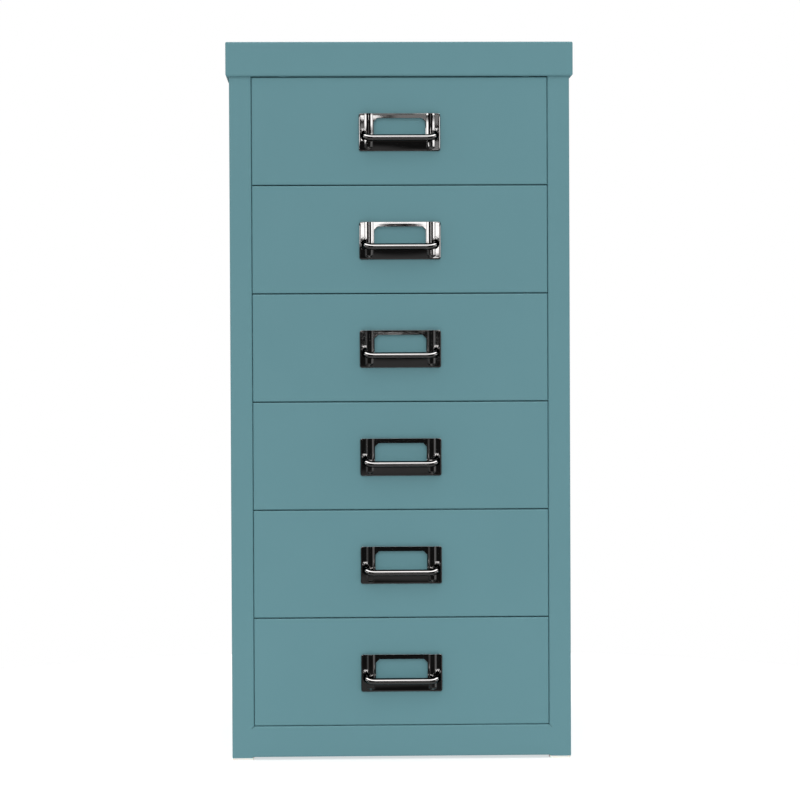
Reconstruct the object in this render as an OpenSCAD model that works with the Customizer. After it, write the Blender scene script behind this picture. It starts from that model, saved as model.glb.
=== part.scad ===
// Small metal drawer cabinet: a folded steel carcass that holds a column of double-skinned
// drawers. Each drawer is carried by a pair of ball-cage runners and opened by a pressed
// chrome pull, whose plate is a card frame.
// Frame: +Z up, +X right, the drawer fronts face -Y. The origin is on the floor, under the
// middle of the bounding box. Lengths are in millimetres.

/* [Carcass] */
// Width over the side panels
body_w = 279.4; // [260:0.1:420]
// Depth from the face of the stiles to the rear flanges
body_d = 381; // [378:0.5:460]
// Thickness of the carcass sheet
sheet_t = 0.9; // [0.7:0.1:1.1]
// Inside radius of the folds in the carcass sheet
fold_r = 0.5; // [0.4:0.1:1.2]
// Width of the front stiles
stile_w = 18.1; // [16.5:0.1:24]
// Depth of the return behind each stile
stile_return = 12; // [6:0.5:12]
// Width of the flanges that hold the back panel
rear_flange = 12; // [8:0.5:16]
// Height of the rail under the bottom drawer
plinth_h = 25.55; // [20:0.05:60]
// Height of that rail's lower edge above the ends of the stiles
plinth_lift = 0.6; // [0:0.1:2]
// Depth of the fold along the top of the bottom rail
plinth_shelf = 10; // [6:0.5:14]
// Height of the flanges that join the floor to the walls
floor_flange = 12; // [8:0.5:16]
// Room between the back panel and the side panels
panel_clear = 0.3; // [0.1:0.1:1]
// Length of the relief cut where stile and bottom rail meet
relief_l = 3.2; // [2:0.1:5]
// Width of that relief cut
relief_w = 0.3; // [0.3:0.1:1]

/* [Cap] */
// Height of the cap's flanges
cap_h = 28.15; // [20:0.05:40]
// How far the cap stands out past the body on every side
cap_overhang = 2.7; // [2.6:0.1:8]
// Inside radius of the cap's top edge
cap_top_fold = 0.4; // [0.2:0.1:2]
// Inside radius of the fold under the cap's edge
cap_lip_fold = 0.9; // [0.8:0.1:1.6]

/* [Header rail] */
// Depth of the header rail behind the cap
header_d = 14; // [8:0.5:14]
// Height of the fold along the back of the header rail
header_lip = 6; // [4:0.5:12]
// Width of the two nibs that hang into the gap above the top drawer
nib_w = 5.3; // [2:0.1:8]
// Room between a nib and the top drawer
nib_clear = 0.3; // [0.3:0.1:1.5]
// Place of the left nib, from the middle of the cabinet
nib_left_x = -95; // [-110:1:-60]
// Place of the right nib, from the middle of the cabinet
nib_right_x = 104; // [60:1:110]

/* [Corner feet] */
// Height of the pads under the stiles
foot_h = 2; // [1.5:0.1:6]
// How far a pad keeps inside the outline of its corner
foot_inset = 0.5; // [0.3:0.1:1.5]
// Depth of a pad, front to back
foot_d = 12; // [8:0.5:12]
// Height of the plug that holds a foot in its corner
foot_plug_h = 12; // [6:0.5:20]
// Room round the plug
foot_plug_clear = 0.2; // [0.1:0.05:0.4]
// Radius of the foot's upright edges
foot_r = 1.5; // [0.5:0.1:2.5]

/* [Drawer fronts] */
// Number of drawers
drawer_count = 6; // [1:1:8]
// Height of a drawer front
front_h = 88.2; // [80:0.05:180]
// Gap between one drawer front and the next
front_gap = 0.7; // [0.6:0.1:3]
// Gap between a drawer front and the stiles
side_gap = 0.3; // [0.3:0.1:2.5]
// Gap between the top drawer and the cap
head_gap = 0.6; // [0.6:0.1:5]
// Gap between the bottom drawer and the rail under it
sill_gap = 0.4; // [0.4:0.1:3]
// Depth of a drawer front's folded edges
front_return = 12; // [8:0.5:16]
// Width of the lips round the back of a drawer front
front_lip = 6; // [4:0.5:10]
// Thickness of the drawer sheet
drawer_t = 0.8; // [0.6:0.1:1]
// Inside radius of the folds in the drawer sheet
drawer_fold = 0.3; // [0.2:0.1:1]

/* [Drawer trays] */
// How far the inner skin keeps inside the drawer front's edges
skin_inset = 1.5; // [0.8:0.1:4]
// Height of a tray's underside above the lower edge of its front
tray_lift = 4.5; // [2:0.1:12]
// Drop from the upper edge of the front to the tray's rim
rim_drop = 6.2; // [2:0.1:12]
// Width of the safe edge folded in along the tray's rim
hem_w = 5; // [3:0.5:10]
// How far the tray runs back past its runners
tray_tail = 2; // [1:0.5:4]
// How far a drawer opens
drawer_travel = 240; // [200:1:260]

/* [Ball runners] */
// Length of a rail
runner_l = 340; // [320:1:342]
// Room between the drawer front's back and the rails
runner_setback = 1.2; // [0.8:0.1:4]
// Room between a drawer's rails and the stiles
runner_clear = 1.5; // [1:0.1:2.5]
// Height of the rails' middle above the lower edge of the drawer front
runner_rise = 57; // [36:0.5:62]
// Thickness of the rail sheet
rail_t = 0.9; // [0.7:0.1:1.1]
// Depth of a rail from its crown to the wall that it is fixed to
rail_depth = 5; // [4.6:0.1:6]
// Overall height of a rail
rail_h = 26; // [22:0.5:34]
// Height of a rail's crown
crown_h = 16; // [14:0.5:18]
// Gap between the crowns of two facing rails
crown_gap = 2.8; // [2.6:0.1:3.6]
// Diameter of the balls
ball_d = 8; // [7:0.1:8.4]
// Room between a ball and its grooves
ball_clear = 0.25; // [0.15:0.05:0.4]
// Balls in each cage
balls_per_cage = 4; // [3:1:8]
// Thickness of a cage
cage_t = 2; // [1.4:0.1:2.2]
// Height of a cage
cage_h = 12; // [10:0.5:13]
// Room between a ball and its hole in the cage
cage_clear = 0.15; // [0.1:0.05:0.3]
// Radius of a cage's corners
cage_corner_r = 2.5; // [1:0.5:4]
// Distance from the end of a cage to its first ball
cage_margin = 9; // [6:0.5:12]
// Room that is left between a cage and the stops when the drawer is open
cage_room = 1.1; // [0.6:0.1:3]
// Reach of an end stop past the middle plane between two rails
stop_reach = 0.8; // [0.4:0.1:1]
// Height of an end stop
stop_h = 6; // [4:0.5:8]

/* [Uprights] */
// Width of an upright's face, front to back
upright_w = 28; // [24:0.5:32]
// Width of the feet that fix an upright to the wall
upright_foot = 5; // [4:0.5:6]
// Room between the front upright's face and the front end of the rails
upright_lead = 1; // [0:0.5:4]
// How far the rear upright's middle stands behind the rear end of the rails
upright_trail = 3; // [2:0.5:3]
// Height of the tabs that stop a closing drawer
tab_h = 9; // [6:0.5:14]
// Room between a closed drawer's rail and its tab
tab_clear = 0.4; // [0.3:0.1:1]
// Room between the end of a tab and the drawer's wall
tab_end_clear = 1; // [0.6:0.1:2]

/* [Pulls] */
// Width of a pull's plate
pull_w = 66.8; // [66:0.1:90]
// Height of a pull's plate
pull_h = 30.8; // [30:0.1:40]
// How far the middle of the plate lies under the middle of the drawer front
pull_drop = 1.2; // [-4:0.1:6]
// Thickness of the pressed plate
pull_t = 0.9; // [0.7:0.1:1.1]
// Room for a card behind the plate
card_gap = 1.4; // [1:0.1:2]
// Radius of the plate's corners
pull_corner_r = 1.8; // [1:0.1:4]
// Depth of the straight part of the plate's sides, behind their round edges
side_land = 0.2; // [0.1:0.1:0.6]
// Width of the card window
window_w = 42.6; // [34:0.1:44]
// Height of the card window
window_h = 17; // [12:0.1:18]
// Width of the plate's rim above the card window
window_top = 3.8; // [3:0.1:7]
// Size of the bevels at the window's upper corners
window_bevel = 3; // [1:0.1:5]
// Distance between the middles of the two upright ridges
ridge_span = 50.8; // [50:0.1:54]
// Width of a ridge
ridge_w = 7; // [4:0.1:7.2]
// Height of a ridge over the plate
ridge_rise = 1.7; // [1.2:0.1:2]
// Length of a ridge
ridge_l = 28.4; // [26:0.1:28.6]
// Length of a ridge's tapered ends
ridge_taper = 4.5; // [2:0.1:7]
// Height of the trough's middle above the lower edge of the plate
trough_rise = 4.4; // [3.8:0.1:5]
// Radius of the trough across the foot of the plate
trough_r = 6; // [4:0.1:8]
// Depth of the trough
trough_depth = 0.4; // [0.3:0.05:0.6]
// Diameter of the bow that the fingers pull
bow_d = 5.2; // [4.4:0.1:6]
// Distance between the middles of the bow's arms
bow_span = 58.6; // [56:0.1:60]
// Radius of the bends in the bow, at its middle line
bow_bend_r = 7.5; // [5:0.5:10]
// Reach of the bow in front of the drawer
bow_reach = 17; // [15:0.5:26]
// Drop of the bar below the roots of its arms
bow_drop = 3; // [0:0.1:5]
// Drop of the arms' roots below the middle of the plate
bow_root_drop = 2.3; // [0:0.1:4]
// Width of the four tabs that hold a pull
lug_w = 5; // [3:0.5:6]
// Length of the bent end of a holding tab
lug_l = 4; // [2:0.5:5]
// Height of the holding tabs above and below the middle of the plate
lug_rise = 11; // [8:0.5:12]
// Room round a holding tab in its slot
lug_clear = 0.3; // [0.2:0.05:0.6]

/* [Hidden] */
$fn = 72;
LEFT = -1;
RIGHT = 1;
SIDES = [LEFT, RIGHT];
cut = 1; // how far a cutting shape runs past what it cuts

// Depths. The stiles' face is front_y, and the rear flanges end at rear_y.
overall_d = bow_reach + body_d + cap_overhang;
front_y = -overall_d / 2 + bow_reach;
rear_y = front_y + body_d;
skin_y = front_y + front_return;
back_panel_y = rear_y - 2 * sheet_t;

// Widths. fold_w is the depth of a fold's round outer edge.
fold_w = fold_r + sheet_t;
relief_rise = relief_w / sqrt(2);
wall_x = body_w / 2 - sheet_t;
stile_in_x = body_w / 2 - stile_w;
front_w = 2 * (stile_in_x - side_gap);
crown_x = stile_in_x - runner_clear;
runner_x = crown_x + crown_gap / 2;
tray_w = 2 * (crown_x - rail_depth);
web_x = runner_x + crown_gap / 2 + rail_depth;

// Heights
floor_z = foot_h + plinth_lift;
plinth_top = floor_z + plinth_h;
pitch = front_h + front_gap;
fronts_top = plinth_top + sill_gap + drawer_count * pitch - front_gap;
cap_z = fronts_top + head_gap;
overall_h = cap_z + cap_h;
tray_h = front_h - tray_lift - rim_drop;

// Runners. A cage covers what two rails still share when the drawer is fully open.
runner_y0 = max(skin_y + drawer_t, front_y + stile_return) + runner_setback;
runner_y1 = runner_y0 + runner_l;
groove_r = ball_d / 2 + ball_clear;
end_room = rail_t + cage_room;
cage_l = runner_l - drawer_travel - 2 * end_room;
cage_y0 = runner_y0 + drawer_travel / 2 + end_room;
ball_pitch = (cage_l - 2 * cage_margin) / (balls_per_cage - 1);
tray_back_y = runner_y1 + tray_tail;
front_upright_y = runner_y0 + upright_lead + upright_w / 2;
rear_upright_y = runner_y1 + upright_trail;

// Pulls. plate_y is the plate's face, measured from the drawer front towards -Y. A ridge is
// part of a spindle with radius ridge_r, whose axis lies behind the plate.
plate_y = -(card_gap + pull_t);
plate_side_r = card_gap + pull_t - side_land;
ridge_r = (pow(ridge_w / 2, 2) + pow(ridge_rise, 2)) / (2 * ridge_rise);
bow_forward = bow_reach - bow_d / 2;
bow_tilt = atan2(bow_drop, bow_forward);
bow_l = norm([bow_drop, bow_forward]);

DRAWER_PARTS = ["front", "tray", "pull", "channels", "ball_cages", "balls"];

// Height of the lower edge of drawer k's front, where drawer 1 is the top one
function front_z(k) = fronts_top - front_h - (k - 1) * pitch;

// Height of the middle of drawer k's runners
function runner_z(k) = front_z(k) + runner_rise;

// Height of the middle of drawer k's pull
function pull_z(k) = front_z(k) + front_h / 2 - pull_drop;

// The direction from one point to another, as a unit vector
function direction(a, b) = (b - a) / norm(b - a);

// Section of a folded sheet. path is the sheet's middle line, and each inner point of it
// is a right-angled fold with inside radius r.
module folded_strip(path, t, r) {
    last = len(path) - 1;
    mid_r = r + t / 2;
    for (i = [0 : last - 1]) {
        along = direction(path[i], path[i + 1]);
        across = [-along[1], along[0]] * t / 2;
        a = path[i] + along * (i == 0 ? 0 : mid_r);
        b = path[i + 1] - along * (i == last - 1 ? 0 : mid_r);
        polygon([a - across, b - across, b + across, a + across]);
    }
    for (i = [1 : last - 1]) {
        u = direction(path[i - 1], path[i]);
        v = direction(path[i], path[i + 1]);
        centre = path[i] - u * mid_r + v * mid_r;
        reach = r + t + cut;
        intersection() {
            translate(centre) ring(r + t, r);
            polygon([centre, centre + u * reach, centre + (u - v) * reach, centre - v * reach]);
        }
    }
}

// A flat ring
module ring(outer, inner) {
    difference() {
        circle(r = outer);
        circle(r = inner);
    }
}

// A rectangle whose middle is the origin, with round corners
module round_rect(w, h, r) {
    square([w - 2 * r, h], center = true);
    square([w, h - 2 * r], center = true);
    for (x = [-1, 1])
        for (y = [-1, 1])
            translate([x * (w / 2 - r), y * (h / 2 - r)])
                circle(r = r);
}

// Extrudes a section drawn in X and Z along Y, from y0 to y1
module along_y(y0, y1) {
    translate([0, y1, 0])
        rotate([90, 0, 0])
            linear_extrude(y1 - y0)
                children();
}

// Extrudes a section drawn in Y and Z along X, from x0 to x1
module along_x(x0, x1) {
    translate([x0, 0, 0])
        rotate([90, 0, 90])
            linear_extrude(x1 - x0)
                children();
}

// A box between two corners
module block(low, high) {
    translate(low)
        cube(high - low);
}

// Draws its children as they are for the right side, and mirrored for the left
module on_side(side) {
    mirror([side == LEFT ? 1 : 0, 0, 0])
        children();
}

// Cross-section of a block with two round edges on its face, at 0, and two on its back
module pan_section(w, d, face_r, back_r) {
    translate([-w / 2, face_r])
        square([w, d - face_r - back_r]);
    translate([-w / 2 + face_r, 0])
        square([w - 2 * face_r, face_r]);
    for (x = [-1, 1])
        translate([x * (w / 2 - face_r), face_r])
            circle(r = face_r);
    if (back_r > 0) {
        translate([-w / 2 + back_r, d - back_r])
            square([w - 2 * back_r, back_r]);
        for (x = [-1, 1])
            translate([x * (w / 2 - back_r), d - back_r])
                circle(r = back_r);
    }
}

// A block with round edges, its face on Z = 0 and its depth along +Z
module pan_block(w, h, d, face_r, back_r) {
    intersection() {
        along_y(-h / 2, h / 2)
            pan_section(w, d, face_r, back_r);
        along_x(-w / 2, w / 2)
            pan_section(h, d, face_r, back_r);
    }
}

// A folded pan: a flat face on Z = 0, edges folded back to depth d and lips turned in.
// face_r and back_r are the inside radii of the folds.
module folded_pan(w, h, d, t, face_r, back_r, lip) {
    difference() {
        pan_block(w, h, d, face_r + t, back_r + t);
        translate([0, 0, t])
            pan_block(w - 2 * t, h - 2 * t, d - 2 * t, face_r, back_r);
        translate([0, 0, d])
            cube([w - 2 * lip, h - 2 * lip, 4 * t], center = true);
    }
}

// Lid of the cabinet, with lips that close on the walls under it
module top_cap() {
    cap_w = body_w + 2 * cap_overhang;
    cap_d = body_d + 2 * cap_overhang;
    color("#668e95")
        translate([0, (front_y + rear_y) / 2, overall_h])
            rotate([180, 0, 0])
                folded_pan(cap_w, cap_d, cap_h, sheet_t, cap_top_fold, cap_lip_fold, cap_overhang);
}

// One sheet: side wall, stile with its return, and rear flange
module side_panel(side) {
    half = sheet_t / 2;
    color("#668e95")
        on_side(side)
            difference() {
                translate([0, 0, foot_h])
                    linear_extrude(overall_h - sheet_t - foot_h)
                        folded_strip([
                            [stile_in_x + half, front_y + stile_return],
                            [stile_in_x + half, front_y + half],
                            [body_w / 2 - half, front_y + half],
                            [body_w / 2 - half, rear_y - half],
                            [body_w / 2 - rear_flange, rear_y - half]
                        ], sheet_t, fold_r);
                corner_relief();
                translate([stile_in_x, 0, plinth_top])
                    along_y(front_y - cut, front_y + stile_return + cut)
                        polygon([
                            [-cut, -plinth_top], [fold_w, -plinth_top],
                            [fold_w, relief_rise - fold_w], [-cut, relief_rise + cut]
                        ]);
            }
}

// Slanted cut through the stile, outwards and down from the bottom rail's upper corner. The
// stile's fold and return end on it, and below it the rail meets the stile face to face.
module corner_relief() {
    translate([stile_in_x, front_y + fold_w / 2, plinth_top])
        rotate([0, 45, 0])
            translate([relief_l / 2, 0, 0])
                cube([relief_l, fold_w + cut, relief_w], center = true);
}

// Plain panel, held in front of the rear flanges
module back_panel() {
    half_w = wall_x - panel_clear;
    color("#668e95")
        block([-half_w, back_panel_y, floor_z], [half_w, back_panel_y + sheet_t, overall_h - sheet_t]);
}

// Bottom rail and floor in one piece. Ears on the rail close the stiles' ends, and the
// floor's wings stop short of the corner feet.
module base_pan() {
    half = sheet_t / 2;
    wing_y0 = front_y + foot_inset + foot_d + panel_clear;
    wing_y1 = rear_y - foot_inset - foot_d - panel_clear;
    flange_y = back_panel_y - half;
    color("#668e95") {
        along_x(-stile_in_x, stile_in_x)
            folded_strip([
                [front_y + plinth_shelf, plinth_top - plinth_shelf],
                [front_y + plinth_shelf, plinth_top - half],
                [front_y + half, plinth_top - half],
                [front_y + half, floor_z + half],
                [flange_y, floor_z + half],
                [flange_y, floor_z + floor_flange]
            ], sheet_t, fold_r);
        for (side = SIDES)
            on_side(side)
                along_y(front_y, front_y + sheet_t)
                    polygon([
                        [stile_in_x, floor_z], [stile_in_x + fold_w, floor_z],
                        [stile_in_x + fold_w, plinth_top - relief_rise - fold_w],
                        [stile_in_x, plinth_top - relief_rise]
                    ]);
        along_y(wing_y0, wing_y1)
            folded_strip([
                [-wall_x + half, floor_z + floor_flange],
                [-wall_x + half, floor_z + half],
                [wall_x - half, floor_z + half],
                [wall_x - half, floor_z + floor_flange]
            ], sheet_t, fold_r);
    }
}

// Angle behind the cap's front, between the stiles, with two nibs over the top drawer
module header_rail() {
    half = sheet_t / 2;
    color("#668e95") {
        along_x(-stile_in_x, stile_in_x)
            folded_strip([
                [front_y + half, overall_h - sheet_t],
                [front_y + half, cap_z + half],
                [front_y + header_d, cap_z + half],
                [front_y + header_d, cap_z + header_lip]
            ], sheet_t, fold_r);
        for (x = [nib_left_x, nib_right_x])
            block([x - nib_w / 2, front_y, fronts_top + nib_clear],
                  [x + nib_w / 2, front_y + sheet_t, cap_z + fold_w]);
    }
}

// Hat section that stands on the side wall and carries the fixed rails
module upright(side, y) {
    half = sheet_t / 2;
    leg = upright_w / 2 - half;
    color("#668e95")
        on_side(side)
            translate([0, y, plinth_top])
                linear_extrude(cap_z - plinth_top)
                    folded_strip([
                        [wall_x - half, -upright_w / 2 - upright_foot],
                        [wall_x - half, -leg],
                        [web_x + half, -leg],
                        [web_x + half, leg],
                        [wall_x - half, leg],
                        [wall_x - half, upright_w / 2 + upright_foot]
                    ], sheet_t, fold_r);
}

// Rear upright, with a tab bent out of its face behind each drawer's rail
module rear_upright(side) {
    tab_y = runner_y1 + tab_clear;
    tab_end = tray_w / 2 + tab_end_clear;
    tab_back = tab_y + sheet_t;
    color("#668e95") {
        difference() {
            upright(side, rear_upright_y);
            on_side(side)
                for (k = [1 : drawer_count])
                    block([web_x - cut, tab_back, runner_z(k) - tab_h / 2],
                          [web_x + sheet_t + cut, tab_back + web_x - tab_end, runner_z(k) + tab_h / 2]);
        }
        on_side(side)
            for (k = [1 : drawer_count])
                block([tab_end, tab_y, runner_z(k) - tab_h / 2],
                      [web_x + sheet_t / 2, tab_back, runner_z(k) + tab_h / 2]);
    }
}

// Four moulded feet: a pad under each corner and a plug in the corner above it
module corner_feet() {
    plug_x0 = stile_in_x + sheet_t + foot_plug_clear;
    plug_x1 = wall_x - foot_plug_clear;
    pad_x0 = stile_in_x + foot_inset;
    pad_x1 = body_w / 2 - foot_inset;
    pad_y0 = foot_inset;
    plug_y0 = 2 * sheet_t + foot_plug_clear;
    plug_y1 = foot_inset + foot_d;
    color("#e8e8e2")
        for (side = SIDES)
            for (rear = [0, 1])
                on_side(side)
                    translate([0, rear ? rear_y : front_y, 0])
                        mirror([0, rear, 0]) {
                            upright_block([pad_x0, pad_y0], [pad_x1, pad_y0 + foot_d], 0, foot_h);
                            upright_block([plug_x0, plug_y0], [plug_x1, plug_y1], foot_h, foot_plug_h);
                        }
}

// A block between two plan corners with round upright edges, from height z upwards
module upright_block(low, high, z, h) {
    size = high - low;
    translate([(low[0] + high[0]) / 2, (low[1] + high[1]) / 2, z])
        linear_extrude(h)
            round_rect(size[0], size[1], foot_r);
}

// Half of a rail pair, seen along Y with the balls' middle at the origin: groove, crown,
// legs and feet. The crown faces the origin and the feet lie on the wall away from it.
module rail_section() {
    half = rail_t / 2;
    crown = crown_gap / 2;
    foot = crown + rail_depth - half;
    groove_edge = sqrt(pow(groove_r, 2) - pow(crown, 2));
    outer = groove_r + rail_t;
    intersection() {
        ring(outer, groove_r);
        translate([crown, -outer])
            square([outer, 2 * outer]);
    }
    for (up = [-1, 1])
        folded_strip([
            [crown + half, up * groove_edge],
            [crown + half, up * (crown_h / 2 - half)],
            [foot, up * (crown_h / 2 - half)],
            [foot, up * rail_h / 2]
        ], rail_t, drawer_fold);
}

// End stop of a rail: it closes the groove and reaches past the balls' middle plane
module stop_section() {
    intersection() {
        circle(r = groove_r + rail_t / 2);
        translate([-stop_reach, -stop_h / 2])
            square([stop_reach + groove_r + rail_t, stop_h]);
    }
}

// A rail on the right side at drawer k's height, with its end stop between stop_y0 and stop_y1
module rail(k, faces_out, stop_y0, stop_y1) {
    translate([runner_x, 0, runner_z(k)])
        mirror([faces_out ? 1 : 0, 0, 0]) {
            along_y(runner_y0, runner_y1)
                rail_section();
            along_y(stop_y0, stop_y1)
                stop_section();
        }
}

// Fixed pair of rails for drawer k, with their stops in front
module cabinet_runners(k) {
    color("#c9ccce")
        for (side = SIDES)
            on_side(side)
                rail(k, false, runner_y0, runner_y0 + rail_t);
}

// Outer skin of drawer k: a folded pan with slots for the pull's tabs
module drawer_front(k) {
    slot_w = lug_w + 2 * lug_clear;
    slot_h = pull_t + 2 * lug_clear;
    color("#668e95")
        difference() {
            translate([0, front_y, front_z(k) + front_h / 2])
                rotate([-90, 0, 0])
                    folded_pan(front_w, front_h, front_return, drawer_t, drawer_fold, drawer_fold,
                               front_lip);
            translate([0, front_y, pull_z(k)])
                for (x = [-1, 1])
                    for (up = [-1, 1])
                        translate([x * bow_span / 2, 0, up * lug_rise])
                            cube([slot_w, 2 * (drawer_t + cut), slot_h], center = true);
        }
}

// Inner skin, bottom, sides and back of drawer k, with a safe edge along both sides
module drawer_tray(k) {
    half = drawer_t / 2;
    side_x = tray_w / 2 - half;
    z0 = front_z(k) + tray_lift;
    z1 = z0 + tray_h;
    skin_x = front_w / 2 - skin_inset;
    color("#668e95") {
        along_y(skin_y, tray_back_y)
            folded_strip([
                [-tray_w / 2 + hem_w, z1 - half],
                [-side_x, z1 - half],
                [-side_x, z0 + half],
                [side_x, z0 + half],
                [side_x, z1 - half],
                [tray_w / 2 - hem_w, z1 - half]
            ], drawer_t, drawer_fold);
        block([-side_x, tray_back_y - drawer_t, z0 + half], [side_x, tray_back_y, z1 - half]);
        block([-skin_x, skin_y, front_z(k) + skin_inset],
              [skin_x, skin_y + drawer_t, front_z(k) + front_h - skin_inset]);
    }
}

// Drawer k's pair of rails, with their stops at the back
module drawer_channels(k) {
    color("#c9ccce")
        for (side = SIDES)
            on_side(side)
                rail(k, true, runner_y1 - rail_t, runner_y1);
}

// Two strips that keep drawer k's balls apart
module drawer_ball_cages(k) {
    color("#f2efe4")
        for (side = SIDES)
            on_side(side)
                along_x(runner_x - cage_t / 2, runner_x + cage_t / 2)
                    translate([0, runner_z(k)])
                        difference() {
                            translate([cage_y0 + cage_l / 2, 0])
                                round_rect(cage_l, cage_h, cage_corner_r);
                            for (i = [0 : balls_per_cage - 1])
                                translate([ball_y(i), 0])
                                    circle(d = ball_d + 2 * cage_clear);
                        }
}

// Place of a cage's ball i along Y while the drawer is closed
function ball_y(i) = cage_y0 + cage_margin + i * ball_pitch;

// The steel balls of drawer k
module drawer_balls(k) {
    color("#d9dcde")
        for (side = SIDES)
            for (i = [0 : balls_per_cage - 1])
                translate([side * runner_x, ball_y(i), runner_z(k)])
                    sphere(d = ball_d);
}

// Pull of drawer k
module drawer_pull(k) {
    color("#b9bdc1")
        translate([0, front_y, pull_z(k)]) {
            pull_plate();
            pull_bow();
            for (x = [-1, 1])
                for (up = [0, 1])
                    translate([x * bow_span / 2, 0, 0])
                        mirror([0, 0, up])
                            pull_lug();
        }
}

// The pressed plate: card frame, two upright ridges and a trough across the foot
module pull_plate() {
    difference() {
        union() {
            plate_shell();
            ridges(0);
            trough_bar(trough_r + pull_t, pull_h);
        }
        ridges(pull_t);
        trough_bar(trough_r, 0);
        card_window();
    }
}

// A shallow box with round sides and a round lower edge, open behind for the card and open
// above so that the card slides in
module plate_shell() {
    difference() {
        intersection() {
            along_y(plate_y, 0)
                round_rect(pull_w, pull_h, pull_corner_r);
            translate([0, plate_y, -pull_h / 2])
                linear_extrude(pull_h)
                    pan_section(pull_w, -plate_y, plate_side_r, 0);
            translate([0, plate_y, cut]) // raised, so that its upper edge clears the plate
                rotate([0, 90, 0])
                    linear_extrude(pull_w, center = true)
                        pan_section(pull_h + 2 * cut, -plate_y, pull_t, 0);
        }
        translate([0, -card_gap, pull_t - pull_h / 2])
            linear_extrude(pull_h)
                pan_section(pull_w - 2 * pull_t, card_gap + cut, plate_side_r - pull_t, 0);
    }
}

// The two ridges or, with an inset, the hollows behind them. Each is the front of a spindle:
// a cylinder with pointed ends that come to the plate's face at the ridge's ends.
module ridges(inset) {
    r = ridge_r - inset;
    shank = ridge_l / 2 - ridge_taper;
    tip = shank + r * ridge_taper / ridge_rise;
    intersection() {
        for (x = [-ridge_span / 2, ridge_span / 2])
            translate([x, plate_y - ridge_rise + ridge_r, 0])
                rotate_extrude()
                    polygon([[0, -tip], [r, -shank], [r, shank], [0, tip]]);
        block([-pull_w, -pull_w, inset - pull_h / 2], [pull_w, inset - card_gap, pull_h / 2]);
    }
}

// Bar of radius r that forms the trough, or, with a limit, only its part behind the plate's face
module trough_bar(r, limit) {
    l = ridge_span - ridge_w;
    z = -pull_h / 2 + trough_rise;
    y = plate_y - trough_r + trough_depth;
    intersection() {
        translate([0, y, z])
            rotate([0, 90, 0])
                cylinder(r = r, h = l, center = true);
        if (limit > 0)
            block([-pull_w, plate_y + pull_t / 2, -limit], [pull_w, 0, limit]);
        else
            block([-pull_w, -pull_w, -pull_h], [pull_w, 0, pull_h]);
    }
}

// Window for the card, with its upper corners bevelled
module card_window() {
    x = window_w / 2;
    top = pull_h / 2 - window_top;
    low = top - window_h;
    along_y(plate_y - cut, 0)
        polygon([
            [-x, low], [x, low], [x, top - window_bevel], [x - window_bevel, top],
            [-x + window_bevel, top], [-x, top - window_bevel]
        ]);
}

// Round bow: two arms, two bends and a straight bar, tilted down from the plate
module pull_bow() {
    arm_x = bow_span / 2;
    bend_x = arm_x - bow_bend_r;
    difference() {
        translate([0, 0, -bow_root_drop])
            rotate([bow_tilt, 0, 0]) {
                translate([0, -bow_l, 0])
                    rotate([0, 90, 0])
                        cylinder(d = bow_d, h = 2 * bend_x, center = true);
                for (side = SIDES)
                    on_side(side) {
                        translate([bend_x, -bow_l + bow_bend_r, 0])
                            rotate([0, 0, -90])
                                rotate_extrude(angle = 90)
                                    translate([bow_bend_r, 0])
                                        rotate(90) // puts the bend's seam in line with the arm's
                                            circle(d = bow_d);
                        translate([arm_x, 0, 0])
                            rotate([90, 0, 0])
                                cylinder(d = bow_d, h = bow_l - bow_bend_r);
                    }
            }
        block([-pull_w, plate_y + pull_t / 2, -pull_h], [pull_w, pull_w, pull_h]);
    }
}

// Tab that passes through the drawer front and is bent over behind it
module pull_lug() {
    half = pull_t / 2;
    block([-lug_w / 2, plate_y + half, lug_rise - half], [lug_w / 2, drawer_t + pull_t, lug_rise + half]);
    block([-lug_w / 2, drawer_t, lug_rise - half], [lug_w / 2, drawer_t + pull_t, lug_rise + lug_l]);
}

top_cap();
side_panel(LEFT);  // side_panel_left
side_panel(RIGHT);  // side_panel_right
back_panel();
base_pan();
header_rail();
upright(LEFT, front_upright_y);  // upright_front_left
upright(RIGHT, front_upright_y);  // upright_front_right
rear_upright(LEFT);  // upright_rear_left
rear_upright(RIGHT);  // upright_rear_right
corner_feet();
for (k = [1 : drawer_count]) {
    cabinet_runners(k);
    drawer_front(k);
    drawer_tray(k);
    drawer_pull(k);
    drawer_channels(k);
    drawer_ball_cages(k);
    drawer_balls(k);
}
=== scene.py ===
"""Finishes, pressed chrome pulls, fastenings, camera and studio of a small metal drawer cabinet.

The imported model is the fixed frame: its nodes are dressed in procedural finishes, and the pulls are
built as smooth pressings in place of their plain solids. Lengths are in metres, +Z is up, and the
drawer fronts face -Y.
"""

from __future__ import annotations

import logging
import math
from dataclasses import dataclass, field
from enum import Enum

import bpy
import numpy as np
from mathutils import Matrix, Vector

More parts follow.
